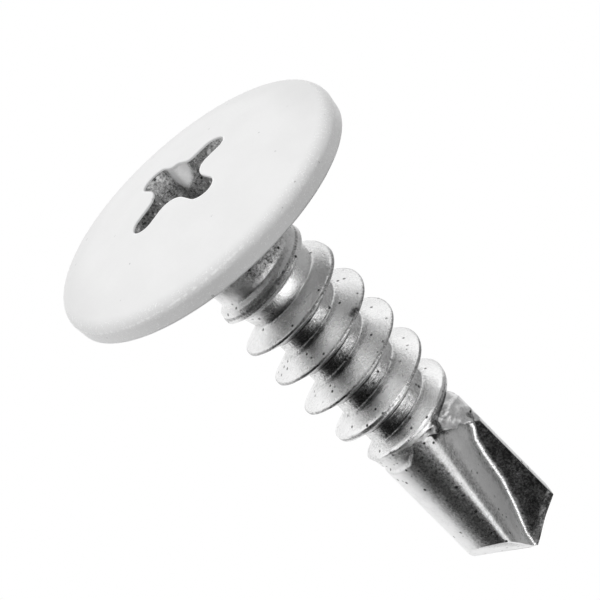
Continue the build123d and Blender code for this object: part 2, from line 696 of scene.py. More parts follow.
@dataclass
class Recess:
    """The cross recess, whose contour shrinks with depth and whose columns follow its corners.

    One corner between two wings is worn back near the mouth, where the driver slipped.
    """

    columns: int = 216
    span: float = 4.15
    wing_width: float = 0.94
    corner_share: float = 0.6
    depth: float = 1.75
    tip_depth: float = 0.35
    end_draft: float = 26.5
    side_draft: float = 4.0
    angle: float = -15.0
    worn_angle: float = 290.0
    worn_spread: float = 18.0
    worn_size: float = 0.3
    worn_depth: float = 0.9
    end_columns: float = 0.3
    corner_columns: float = 0.32

    def quarter(self, span: float, width: float, corner: float) -> np.ndarray:
        """Draw half of one wing.

        Args:
            span: the cross's size over two wings.
            width: a wing's width.
            corner: radius of the corner between two wings.

        Returns:
            Flat points from the middle of the wing's end to the middle of the corner.
        """
        count = self.columns // 8
        half = width / 2
        end = span / 2 - half
        bend = half + corner
        tip_share = max(2, round(count * self.end_columns))
        corner_share = max(2, round(count * self.corner_columns))
        side_share = count - tip_share - corner_share
        tip = np.linspace(0, math.pi / 2, tip_share, endpoint=False)
        arc = np.linspace(-math.pi / 2, -3 * math.pi / 4, corner_share + 1)
        first = polar(half, tip) + [end, 0]
        along = np.linspace(end, bend, side_share, endpoint=False)
        side = np.stack([along, np.full(side_share, half)], axis=1)
        last = polar(corner, arc) + [bend, bend]
        return np.concatenate([first, side, last])[: count + 1]

    def contour(self, span: float, width: float, corner: float) -> np.ndarray:
        """Draw the whole cross, anticlockwise.

        Args:
            span: the cross's size over two wings.
            width: a wing's width.
            corner: radius of the corner between two wings.

        Returns:
            Flat points, with one in the middle of each wing's end.
        """
        wing = self.quarter(span, width, corner)
        quarter = np.concatenate([wing[:-1], wing[::-1, ::-1]])[: self.columns // 4]
        rings = [quarter @ self.turn(math.pi / 2 * number).T for number in range(4)]
        return np.concatenate(rings) @ self.turn(math.radians(self.angle)).T

    @staticmethod
    def turn(angle: float) -> np.ndarray:
        """The flat rotation matrix of an angle in radians."""
        sine, cosine = math.sin(angle), math.cos(angle)
        return np.array([[cosine, -sine], [sine, cosine]])

    def at_depth(self, depth: float, grow: float = 0.0) -> np.ndarray:
        """Draw the contour at a depth below the dome's top.

        Args:
            depth: the depth.
            grow: how far the contour is moved outwards.

        Returns:
            Flat points of the contour.
        """
        span = self.span - 2 * depth * math.tan(math.radians(self.end_draft)) + 2 * grow
        width = self.wing_width - 2 * depth * math.tan(math.radians(self.side_draft)) + 2 * grow
        corner = self.corner_share * (span / 2 - width + grow) - grow
        flat = self.contour(span, width, corner)
        off = (np.degrees(bearing(flat)) - self.worn_angle + 180) % 360 - 180
        fade = 1 - smoothstep(depth, 0.0, self.worn_depth)
        worn = self.worn_size * np.exp(-((off / self.worn_spread) ** 2)) * fade
        return flat * (1 + worn / from_axis(flat))[:, None]


@dataclass
class Head:
    """The low domed wafer head: bare steel with a thin coat of paint, and the cross recess.

    The columns of the dome and the rim start at the recess's angle, and those of the neck at the
    thread's, so under the head they turn from one to the other.
    """

    recess: Recess = field(default_factory=Recess)
    radius: float = 5.39
    rim_thickness: float = 0.85
    dome_rise: float = 0.9
    top_round: float = 0.45
    edge_round: float = 0.1
    least_edge_round: float = 0.01
    rim_draft: float = 0.06
    tilt: float = 2.0
    tilt_fade: float = 0.7
    neck_radius: float = 1.65
    neck_fillet: float = 0.22
    turn_radii: Span = (5.2, 2.2)
    mouth_round: float = 0.05
    mouth_grows: Span = (0.02, 0.04)
    mouth_rows: int = 7
    floor_rows: int = 7
    floor_start: float = 0.08
    wall_rows: int = 16
    dome_rows: int = 16
    dome_start: float = 0.03
    dome_ease: float = 1.15
    coat: float = 0.04
    coat_gap: float = 0.005
    coat_reach: float = 3.1
    coat_step: float = 0.03
    coat_columns: int = 360
    coat_rows: tuple[int, int] = (40, 12)

    def height(self) -> float:
        """Height of the whole head."""
        return self.rim_thickness + self.dome_rise

    def ball(self) -> float:
        """Radius of the ball that the dome is part of."""
        return (self.radius**2 + self.dome_rise**2) / (2 * self.dome_rise)

    def dome(self, radius: Number) -> Number:
        """Level of the dome's surface at a radius."""
        return -self.height() + self.ball() - np.sqrt(self.ball() ** 2 - np.asarray(radius) ** 2)

    def on_dome(self, flat: np.ndarray, drop: float) -> np.ndarray:
        """Lay a flat contour on the dome, some way below its surface."""
        return ring_at(flat, self.dome(from_axis(flat)) + drop)

    @staticmethod
    def on_arc(centre: Span, radius: float, angle: float) -> Span:
        """A point of a rounding, as radius and level."""
        return centre[0] + radius * math.cos(angle), centre[1] + radius * math.sin(angle)

    def outline(self, inset: float) -> list[Span]:
        """Draw the rim's profile from the dome to the underside.

        Args:
            inset: how far the profile is drawn in.

        Returns:
            Radii and levels.
        """
        top, low = self.top_round, self.edge_round
        slope = math.asin((self.radius - top) / (self.ball() - top))
        lift = self.ball() - self.height() - (self.ball() - top) * math.cos(slope)
        centre = (self.radius - top, lift)
        corner = (self.radius - self.rim_draft - low, -low)
        start = math.pi / 2 - slope
        small = max(low - inset, self.least_edge_round)
        arc = [self.on_arc(centre, top - inset, -angle) for angle in np.linspace(start, 0, 12)]
        edge = [self.on_arc(corner, small, angle) for angle in np.linspace(0, math.pi / 2, 8)]
        ends = np.array(arc[-1]), np.array(edge[0])
        side = [tuple(blend(*ends, share)) for share in np.linspace(0, 1, 8)[1:-1]]
        return arc + side + edge

    def tilted(self, rings: list) -> np.ndarray:
        """Tilt points about Y, less and less from the underside up the neck.

        Args:
            rings: points in a list, or rings of them.

        Returns:
            The points in one array.
        """
        points = np.array(rings)
        share = 1 - smoothstep(points[..., 2], 0.0, self.tilt_fade)
        turn = -math.radians(self.tilt) * share
        east, north, level = np.moveaxis(points, -1, 0)
        sine, cosine = np.sin(turn), np.cos(turn)
        turned = [east * cosine + level * sine, north, level * cosine - east * sine]
        return np.stack(turned, axis=-1)

    def over_dome(self, recess: Recess, inset: float, rows: int) -> list[np.ndarray]:
        """Cover the rounded mouth of the recess and the dome, up to the rim's rounding.

        Args:
            recess: the recess, with the number of columns that is wanted.
            inset: how far the surface lies below the dome.
            rows: number of rings over the dome.

        Returns:
            The rings, from the mouth outwards.
        """
        made = []
        rim_radius, _ = self.outline(inset)[0]
        rim = unit_circle(recess.columns, math.radians(recess.angle)) * rim_radius
        for turn in np.linspace(0, math.pi / 2, self.mouth_rows):
            flat = recess.at_depth(0, self.mouth_round * (1 - math.cos(turn)))
            made.append(self.on_dome(flat, self.mouth_round * (1 - math.sin(turn)) + inset))
        for grow in self.mouth_grows:
            made.append(self.on_dome(recess.at_depth(0, self.mouth_round + grow), inset))
        start = recess.at_depth(0, self.mouth_round)
        for share in np.linspace(self.dome_start, 1, rows + 1)[1:]:
            made.append(self.on_dome(blend(start, rim, share**self.dome_ease), inset))
        return made

    def in_recess(self) -> list[np.ndarray]:
        """Cover the recess, from near its tip to its mouth.

        Returns:
            The rings.
        """
        recess, rings = self.recess, []
        for share in np.linspace(self.floor_start, 1, self.floor_rows):
            flat = recess.at_depth(recess.depth) * share
            level = recess.depth + recess.tip_depth * (1 - share) - self.height()
            rings.append(ring_at(flat, level))
        for share in np.linspace(1, 0, self.wall_rows)[1:-1]:
            flat = recess.at_depth(recess.depth * share)
            top = self.dome(from_axis(flat)) + self.mouth_round
            rings.append(ring_at(flat, blend(top, recess.depth - self.height(), share)))
        return rings

    def steel_rings(self, columns: int, end: float) -> list[np.ndarray]:
        """Cover the bare steel, from the recess's floor to the neck.

        Args:
            columns: number of columns.
            end: the level where the thread takes over.

        Returns:
            The rings.
        """
        inset = self.coat + self.coat_gap
        circle = unit_circle(columns)
        turned = circle @ Recess.turn(math.radians(self.recess.angle)).T
        rings = self.in_recess() + self.over_dome(self.recess, inset, self.dome_rows)
        rings += turned_rings(turned, self.outline(inset))
        coated = self.radius - self.coat_reach
        painted = np.linspace(self.radius - self.rim_draft - self.edge_round, coated, 12)[1:]
        bare = np.linspace(coated - self.coat_step, self.neck_radius + self.neck_fillet, 4)
        under = [(radius, -inset) for radius in painted] + [(radius, 0.0) for radius in bare]
        for radius, level in under:
            flat = blend(turned, circle, smoothstep(radius, *self.turn_radii))
            rings.append(ring_at(flat * radius, level))
        fillet = [(self.neck_radius + self.neck_fillet * (1 - math.cos(angle)),
                   self.neck_fillet * (1 - math.sin(angle)))
                  for angle in np.linspace(math.pi / 2, 0, 8)[1:]]
        neck = [(self.neck_radius, level) for level in np.linspace(self.neck_fillet, end, 14)[1:]]
        return rings + turned_rings(circle, fillet + neck)

    def coat_rings(self) -> np.ndarray:
        """Cover both sides of the paint, from the recess's mouth to the underside and back.

        Returns:
            Closed rings, of which the last is the first again.
        """
        recess = Recess(columns=self.coat_columns)
        circle = unit_circle(recess.columns, math.radians(recess.angle))
        rim = self.radius - self.rim_draft - self.edge_round
        under = np.linspace(rim, self.radius - self.coat_reach, 14)[1:]
        outer = self.over_dome(recess, 0.0, self.coat_rows[0])
        outer += turned_rings(circle, self.outline(0.0))
        outer += turned_rings(circle, [(radius, 0.0) for radius in under])
        inner = turned_rings(circle, [(radius, -self.coat) for radius in under[::-1]])
        inner += turned_rings(circle, self.outline(self.coat)[::-1])
        inner += self.over_dome(recess, self.coat, self.coat_rows[1])[::-1]
        return self.tilted(outer + inner + outer[:1])


@dataclass(frozen=True)
class Stroke:
    """A dark mark along a line in the screw's own frame."""

    line: tuple[Point, ...]
    width: float
    grime: float

    def on(self, points: np.ndarray) -> np.ndarray:
        """Draw the mark.

        Args:
            points: points of the surface.

        Returns:
            The mark's grime at each point.
        """
        grime = np.zeros(points.shape[:-1])
        for start, end in zip(self.line, self.line[1:]):
            first, way = np.array(start), np.subtract(end, start)
            share = np.clip((points - first) @ way / (way @ way), 0, 1)
            gap = np.linalg.norm(points - first - share[..., None] * way, axis=-1)
            mark = self.grime * (1 - smoothstep(gap, self.width / 2, self.width))
            grime = np.maximum(grime, mark)
        return grime


@dataclass(frozen=True)
class WearAndPaintedLight:
    """Where the steel is grimy, matte or sprayed with paint, and where shade and light are painted
    on, by place in the screw's own frame.

    Angles are in degrees. Two spans together say where a painted shade comes in and where it goes
    out.
    """

    # Painted shade that darkens the recess.
    recess_painted_shade: float = 0.6
    recess_matte: float = 0.75
    recess_levels: Span = (-0.5, -0.1)
    neck_grime: float = 0.1
    # Painted shade on one side of the neck.
    neck_painted_shade: float = 0.7
    neck_matte: float = 0.75
    neck_shade_angles: tuple[Span, Span] = ((35.0, 72.0), (100.0, 118.0))
    neck_levels: Span = (1.5, 2.3)
    flank_matte: float = 0.24
    flank_radii: Span = (1.36, 1.5)
    crest_grime: float = 0.5
    crest_reach: Span = (0.03, 0.06)
    # Painted shade in the thread's roots, deeper over one range of angles.
    root_painted_shade: float = 0.2
    root_side_shade: float = 0.45
    root_shade_angles: tuple[Span, Span] = ((80.0, 92.0), (125.0, 145.0))
    # Painted light: a pale patch on one wall of the recess, round this point.
    painted_light_spot: Point = (0.24, -1.12, -1.5)
    painted_light_reach: Span = (0.45, 0.7)
    painted_light_spray: float = 0.7
    right_spray: float = 0.4
    right_places: Span = (0.5, 1.0)
    least_spray: float = 0.15
    mouth_sides: Span = (0.0, 0.5)
    strokes: tuple[Stroke, ...] = (
        # The first two strokes darken the foot of the lump: partly cracks, partly painted shadow.
        Stroke(((1.34, 1.13, 9.30), (0.95, 1.42, 9.38), (0.54, 1.66, 9.41), (0.45, 1.70, 9.8),
                (0.39, 1.70, 10.09)), 0.18, 0.9),
        Stroke(((1.42, 1.02, 10.45), (1.48, 0.94, 10.60)), 0.16, 0.8),
        Stroke(((1.08, 1.70, 4.90), (1.24, 1.60, 4.97)), 0.16, 0.85),
        Stroke(((0.985, 0.864, 6.97), (0.94, 0.91, 7.29)), 0.05, 0.8),
    )

    def marked(self, points: np.ndarray, grime: np.ndarray) -> np.ndarray:
        """Grime with the strokes added."""
        return np.maximum.reduce([grime] + [stroke.on(points) for stroke in self.strokes])

    def neck(self, points: np.ndarray) -> np.ndarray:
        """Grime of the neck, with painted shade on one side."""
        # Painted shade on one side of the neck.
        side_shade = plateau(np.degrees(bearing(points)), *self.neck_shade_angles)
        return blend(self.neck_grime, self.neck_painted_shade, side_shade)

    def of_head(self, points: np.ndarray) -> np.ndarray:
        """Wear the recess, the head's underside and the neck, with painted shade in the recess
        and on one side of the neck, and painted light on one wall of the recess.

        Args:
            points: points of the steel head.

        Returns:
            Wear by point, by layer.
        """
        inside = 1 - smoothstep(points[..., 2], *self.recess_levels)
        # Painted light on one wall of the recess, sprayed pale and kept clean.
        gap = np.linalg.norm(points - np.array(self.painted_light_spot), axis=-1)
        wall = 1 - smoothstep(gap, *self.painted_light_reach)
        right = self.right_spray * smoothstep(points[..., 0], *self.right_places)
        # Painted shade in the recess, held off its lit wall.
        grime = blend(self.neck(points), self.recess_painted_shade * (1 - wall), inside)
        matte = blend(self.neck_matte, self.recess_matte, inside)
        spray = np.maximum(self.painted_light_spray * wall, np.maximum(right, self.least_spray)) * inside
        return np.stack([grime, matte, spray], axis=-1)

    def of_thread(self, points: np.ndarray, thread: Thread) -> np.ndarray:
        """Wear the thread: a matte neck with painted shade on one side, slightly matte flanks, thin
        dark crests, and painted shade in the roots, deeper on one side.

        Args:
            points: points of the thread.
            thread: the thread.

        Returns:
            Wear by point, by layer.
        """
        level, angle = points[..., 2], bearing(points)
        after_neck = smoothstep(level, *self.neck_levels)
        on_flank = smoothstep(from_axis(points), *self.flank_radii)
        away = thread.from_crest(level, angle)
        crest = self.crest_grime * (1 - smoothstep(away, *self.crest_reach))
        # Painted shade in the roots, deeper on one side.
        side_shade = plateau(np.degrees(angle), *self.root_shade_angles)
        root = (self.root_painted_shade + self.root_side_shade * side_shade) * (1 - on_flank)
        grime = blend(self.neck(points), root, after_neck)
        matte = blend(self.neck_matte, self.flank_matte * on_flank, after_neck)
        grime = self.marked(points, np.maximum(grime, crest))
        return np.stack([grime, matte, np.zeros_like(grime)], axis=-1)

    def of_coat(self, rings: np.ndarray, head: Head) -> np.ndarray:
        """Mark the coat of paint with a painted highlight along one side of the recess's mouth.

        Args:
            rings: the coat's rings.
            head: the head that carries it.

        Returns:
            Wear by ring, by column, by layer.
        """
        lip = Recess(columns=head.coat_columns).at_depth(0)
        along = np.roll(lip, -1, axis=0) - np.roll(lip, 1, axis=0)
        # Painted highlight along one side of the recess's mouth.
        near = smoothstep(-along[:, 0] / from_axis(along), *self.mouth_sides)
        row = np.arange(len(rings))
        mouth = (1 - smoothstep(row, head.mouth_rows, head.mouth_rows + 1.0))[:, None] * near
        return np.stack([mouth] * len(Layer), axis=-1)


@dataclass
class DrillPoint:
    """The drill point: a cylinder with two flutes and two facets that meet in a chisel edge.

    Half a section starts at the lip and runs down the rake wall, round the valley, up the flute's
    wall, over the heel and along the land. Its columns are counted from the lip, angles are in
    degrees, and the wear of a section is one row of column, grime with painted shade, mattness
    and spray each.
    """

    columns: int = 216
    lip_column: int = 11
    rake_end: int = 18
    valley_end: int = 27
    wall_end: int = 46
    heel_end: int = 60
    lead_rows: int = 34
    rows: int = 90
    row_ease: float = 1.2
    length: float = 15.66
    radius: float = 1.65
    rake_angle: float = 15.0
    web: float = 0.2
    valley: Table = (
        (9.7, 1.6), (11.05, 1.34), (11.4, 1.12), (12.0, 0.97), (13.1, 0.79), (14.0, 0.5),
        (15.05, 0.11), (15.66, 0.02),
    )
    valley_round: float = 0.12
    heel_from: float = 86.0
    heel_turn: float = 4.17
    heel_rounds: Span = (0.28, 0.14)
    lip_start: float = 11.05
    heel_start: float = 9.7
    step_length: float = 0.16
    ragged: tuple[Point, ...] = ((0.05, 19, 0.0), (0.035, 37, 1.3))
    facet_slope: float = 46.6
    chisel_angle: float = 52.3
    facets_above: float = 12.0
    halvings: int = 40
    bevel_depth: float = 0.07
    bevel_length: float = 0.3
    bevel_radius: float = 0.6
    rise: Table = (
        (0, 10.0), (40, 9.6), (85, 9.4), (106, 9.4), (114, 9.7), (127, 10.0), (153, 10.12),
        (360, 10.12),
    )
    rise_length: float = 0.15
    groove: Table = ((9.35, 1.31), (9.8, 1.5))
    crests: Table = ((9.05, 1.9), (9.35, 1.8), (9.7, 1.68), (10.2, 1.62), (11.0, 1.5))
    crest_drop: float = 0.3
    crest_drop_after: Span = (0.08, 0.22)
    lump_angles: tuple[Span, Span] = ((12, 26), (74, 88))
    lump_foot: Span = (-0.05, 0.06)
    lump_back: Span = (0.5, 0.9)
    lump_height: float = 0.12
    knob_height: float = 0.045
    # The grime column is painted shade on the rake wall, columns 0 to 16, and darkens bands by the
    # valley, the heel and the land.
    regions_with_shade: tuple[tuple[float, float, float, float], ...] = (
        (0, 0.92, 0.4, 0.0), (16, 0.92, 0.4, 0.0), (18, 0.5, 0.3, 0.0), (22, 0.0, 0.1, 0.0),
        (25, 0.0, 0.2, 0.0), (28, 0.4, 0.5, 0.1), (32, 0.02, 0.5, 0.32), (40, 0.02, 0.5, 0.38),
        (44, 0.4, 0.5, 0.15), (48, 0.4, 0.45, 0.0), (52, 0.1, 0.4, 0.0), (57, 0.1, 0.4, 0.0),
        (61, 0.55, 0.4, 0.0), (70, 0.5, 0.4, 0.0), (80, 0.0, 0.4, 0.0), (107, 0.0, 0.4, 0.0),
    )
    early_rows: int = 30
    region_fade: float = 8.0
    lead_wear: Point = (0.12, 0.4, 0.0)
    # Painted shadow at the foot of the flute.
    foot_shadow: Point = (0.95, 0.4, 0.0)
    foot_rows: tuple[Span, Span] = ((-1.0, 1.0), (8.0, 14.0))
    foot_end: int = 52
    edge_wear: Point = (0.55, 0.6, 0.0)
    edge_rows: Span = (81.0, 85.0)

    def directions(self) -> tuple[np.ndarray, np.ndarray]:
        """The rake wall's direction outwards, and the direction that it faces."""
        angle = self.rake_angle
        return polar(1.0, math.radians(angle)), polar(1.0, math.radians(angle + 90))

    def lip_angle(self) -> float:
        """Angle of the lip on the drill's side, in radians."""
        return math.radians(self.rake_angle) + math.asin(self.web / 2 / self.radius)

    def bend(self, ends: tuple[np.ndarray, np.ndarray], corner: np.ndarray,
             share: np.ndarray) -> np.ndarray:
        """A point on the curve that rounds a corner between two ends."""
        share = share[..., None]
        return blend(blend(ends[0], corner, share), blend(corner, ends[1], share), share)

    def section(self, level: np.ndarray, column: np.ndarray) -> np.ndarray:
        """Draw half a section.

        Args:
            level: levels, one for each column.
            column: columns counted from the lip.

        Returns:
            One flat point for each column.
        """
        rake, ahead = self.directions()
        lip = rake * math.sqrt(self.radius**2 - (self.web / 2) ** 2) + ahead * (self.web / 2)
        valley = rake * follow(level, self.valley)[..., None] + ahead * (self.web / 2)
        heel_angle = np.radians(self.heel_from + self.heel_turn * (level - self.heel_start))
        heel = polar(self.radius, heel_angle)
        heel_round = blend(*self.heel_rounds, ramp(level, self.heel_start, self.length))
        wall = heel - valley
        wall_length = from_axis(wall)[..., None]
        rake_length = np.maximum(from_axis(lip - valley)[..., None], SHORTEST_WALL)
        before_valley = valley + (lip - valley) * np.minimum(self.valley_round / rake_length, 0.5)
        after_valley = valley + wall * (self.valley_round / wall_length)
        before_heel = heel - wall * (heel_round[..., None] / wall_length)
        after_angle = heel_angle + heel_round / self.radius
        after_heel = polar(self.radius, after_angle)

        ends = (0, self.rake_end, self.valley_end, self.wall_end, self.heel_end, self.columns // 2)
        shares = [ramp(column, first, last) for first, last in zip(ends, ends[1:])]
        parts = [
            blend(lip, before_valley, shares[0][..., None]),
            self.bend((before_valley, after_valley), valley, shares[1]),
            blend(after_valley, before_heel, shares[2][..., None]),
            self.bend((before_heel, after_heel), heel, shares[3]),
        ]
        land = polar(self.radius, blend(after_angle, self.lip_angle() + math.pi, shares[4]))
        return np.select([(column <= last)[..., None] for last in ends[1:-1]], parts, land)

    def bevel(self, flat: np.ndarray, column: np.ndarray, share: Number) -> np.ndarray:
        """Bend the rake wall back along the cutting edge.

        Args:
            flat: flat points of half a section.
            column: their columns.
            share: share of the bevel's depth.

        Returns:
            The flat points, moved.
        """
        _, ahead = self.directions()
        on_rake = 1 - ramp(column, self.rake_end / 2, self.rake_end)
        reach = ramp(from_axis(flat), 0, self.bevel_radius)
        return flat - ahead * (self.bevel_depth * on_rake * reach * share)[..., None]

    def boundary(self, angle: np.ndarray) -> np.ndarray:
        """Find where the flute begins, on a ragged line from the heel to the lip.

        Args:
            angle: angles in radians.

        Returns:
            Levels.
        """
        share = ramp(angle, self.lip_angle(), math.radians(self.heel_from))
        waves = sum(size * np.sin(count * angle + late) for size, count, late in self.ragged)
        return blend(self.lip_start, self.heel_start, share) + waves * np.sin(share * math.pi)

    def skin_radius(self, level: np.ndarray, angle: np.ndarray, thread: Thread) -> np.ndarray:
        """Shape the shank where the thread runs out into the drill.

        The groove ends where the core rises to the drill's cylinder, and a lump of metal is pushed
        up in front of the flute.

        Args:
            level: levels.
            angle: angles in radians.
            thread: the thread that runs out.

        Returns:
            Radii.
        """
        degrees = np.degrees(angle)
        rise = follow(degrees, self.rise)
        at_rise = smoothstep(level, rise, rise + self.rise_length)
        core = blend(follow(level, self.groove), self.radius, at_rise)
        start, end = self.crest_drop_after
        crest = follow(level, self.crests)
        crest = crest - self.crest_drop * smoothstep(level, rise + start, rise + end)
        away = thread.from_crest(level, angle) - thread.crest_width / 2
        tooth = thread.thread_radius - np.maximum(away, 0) / thread.flank_slope()
        skin = np.maximum(core, np.minimum(crest, tooth))
        above = self.boundary(angle) - level
        lump = plateau(degrees, *self.lump_angles) * smoothstep(above, *self.lump_foot)
        lump = lump * (1 - smoothstep(above, *self.lump_back))
        knobs = self.knob_height * np.sin(9 * level + 5 * angle) * np.sin(13 * angle - 4 * level)
        top = self.radius + self.lump_height + knobs
        return np.maximum(skin, skin + (top - skin) * lump)

    def wear_and_painted_light(self, rings: np.ndarray, marks: WearAndPaintedLight) -> np.ndarray:
        """Wear the drill point by region, with painted shade on the rake wall, a painted shadow at
        the foot of the flute and a dark cutting edge.

        Args:
            rings: the points from the thread's last ring to the facets.
            marks: the strokes that are drawn on top.

        Returns:
            Wear by ring, by column, by layer.
        """
        column = np.arange(self.columns // 2)
        places, *layers = zip(*self.regions_with_shade)
        regions_with_shade = np.stack([np.interp(column, places, values) for values in layers], axis=-1)
        row = np.arange(-self.lead_rows, self.rows + 1)[:, None, None]
        begin = np.where(column > self.heel_end, -self.early_rows, 0)[:, None]
        in_region = smoothstep(row, begin, begin + self.region_fade)
        worn = blend(np.array(self.lead_wear), regions_with_shade, in_region)
        # Painted shadow along the foot of the flute.
        foot = plateau(row, *self.foot_rows) * (column < self.foot_end)[:, None]
        worn = np.maximum(worn, np.array(self.foot_shadow) * foot)
        edge = smoothstep(row, *self.edge_rows) * (column < self.rake_end)[:, None]
        worn = np.maximum(worn, np.array(self.edge_wear) * edge)
        # worn holds grime with painted shade, mattness and spray.
        worn = np.roll(np.tile(worn, (1, 2, 1)), self.lip_column, axis=1)
        worn[..., 0] = marks.marked(rings, worn[..., 0])
        return worn

    def facet_levels(self, column: np.ndarray) -> np.ndarray:
        """Find where each column meets its facet, by halving.

        Args:
            column: columns of half a section.

        Returns:
            Levels.
        """
        facing = math.radians(self.chisel_angle + 90)
        normal = np.array([math.cos(facing), math.sin(facing)])
        slope = math.tan(math.radians(self.facet_slope))
        low, high = np.full(len(column), self.facets_above), np.full(len(column), self.length)
        for _ in range(self.halvings):
            top = (low + high) / 2
            flat = self.bevel(self.section(top, column), column, 1.0)
            below = top < self.length - slope * np.abs(flat @ normal)
            low, high = np.where(below, top, low), np.where(below, high, top)
        return top

    def whole_ring(self, level: np.ndarray, flat: np.ndarray, thread: Thread,
                   fluted: bool) -> np.ndarray:
        """Make a ring of half a section and its copy across the axis, kept inside the skin.

        Args:
            level: levels, one for each column.
            flat: flat points of half a section.
            thread: the thread that runs out into the drill point.
            fluted: True where the flute may go deeper than the skin.

        Returns:
            The points of the ring.
        """
        both = []
        in_flute = fluted & (np.arange(len(flat)) <= self.heel_end)
        for side in (1, -1):
            turned = flat * side
            skin = self.skin_radius(level, bearing(turned) % math.tau, thread)
            here = from_axis(turned)
            wanted = np.where(in_flute, np.minimum(here, skin), skin)
            both.append(ring_at(turned * (wanted / here)[:, None], level))
        return np.concatenate(both)

    def rings(self, first: np.ndarray, thread: Thread) -> np.ndarray:
        """Cover the drill point, from the thread's last ring to the facets.

        Args:
            first: the thread's last ring.
            thread: the thread that runs out into the drill point.

        Returns:
            Points by ring, by column, by coordinate.
        """
        half = self.columns // 2
        column = np.arange(half)
        even = (self.lip_column + column) * math.tau / self.columns
        lip, heel = self.lip_angle(), math.radians(self.heel_from)
        after_heel = heel + self.heel_rounds[0] / self.radius
        begin = follow(column, ((0, lip), (self.wall_end, heel), (self.heel_end, after_heel),
                                (half, lip + math.pi)))
        back = smoothstep(column, self.heel_end, half)
        on_land = blend(self.heel_start, self.lip_start, back)
        begin_level = np.where(column <= self.heel_end, self.boundary(begin), on_land)
        top = self.facet_levels(column)

        whole = []
        for share in np.arange(1, self.lead_rows + 1) / self.lead_rows:
            level = blend(np.full(half, first[0, 2]), begin_level, share)
            flat = polar(1.0, blend(even, begin, smoothstep(share, 0, 1)))
            whole.append(self.whole_ring(level, flat, thread, fluted=False))
        for row in range(1, self.rows + 1):
            level = blend(begin_level, top, (row / self.rows) ** self.row_ease)
            step = np.clip((level - begin_level) / self.step_length, 0, 1)
            deep = (1 - (1 - step) ** 2)[:, None]
            flat = blend(polar(self.radius, begin), self.section(level, column), deep)
            flat = self.bevel(flat, column, np.clip(1 - (top - level) / self.bevel_length, 0, 1))
            whole.append(self.whole_ring(level, flat, thread, fluted=True))
        return np.concatenate([first[None], np.roll(np.array(whole), self.lip_column, axis=1)])


@dataclass(frozen=True)
class Finish:
    """What the finishes share: a material that reads places in the screw's own frame."""

    pose: RestPose
    name: str = "finish"
    bump_strength: float = 0.5
    bump_depth: float = 0.00003

    def looks(self, nodes: Nodes, place: Wire) -> tuple[dict[str, Term], Wire]:
        """The shader's inputs by name, and the height of the bump."""
        raise NotImplementedError

    def build(self) -> bpy.types.Material:
        """Build the material.

        Returns:
            The material.
        """
        material = bpy.data.materials.new(self.name)
        material.use_nodes = True
        nodes = Nodes(material.node_tree)
        shader = material.node_tree.nodes["Principled BSDF"]
        inputs, height = self.looks(nodes, self.pose.own_place(nodes))
        bump = {"Height": height, "Strength": self.bump_strength, "Distance": self.bump_depth}
        inputs["Normal"] = nodes.out("ShaderNodeBump", bump)
        for name, value in inputs.items():
            nodes.feed(shader.inputs[name], value)
        return material


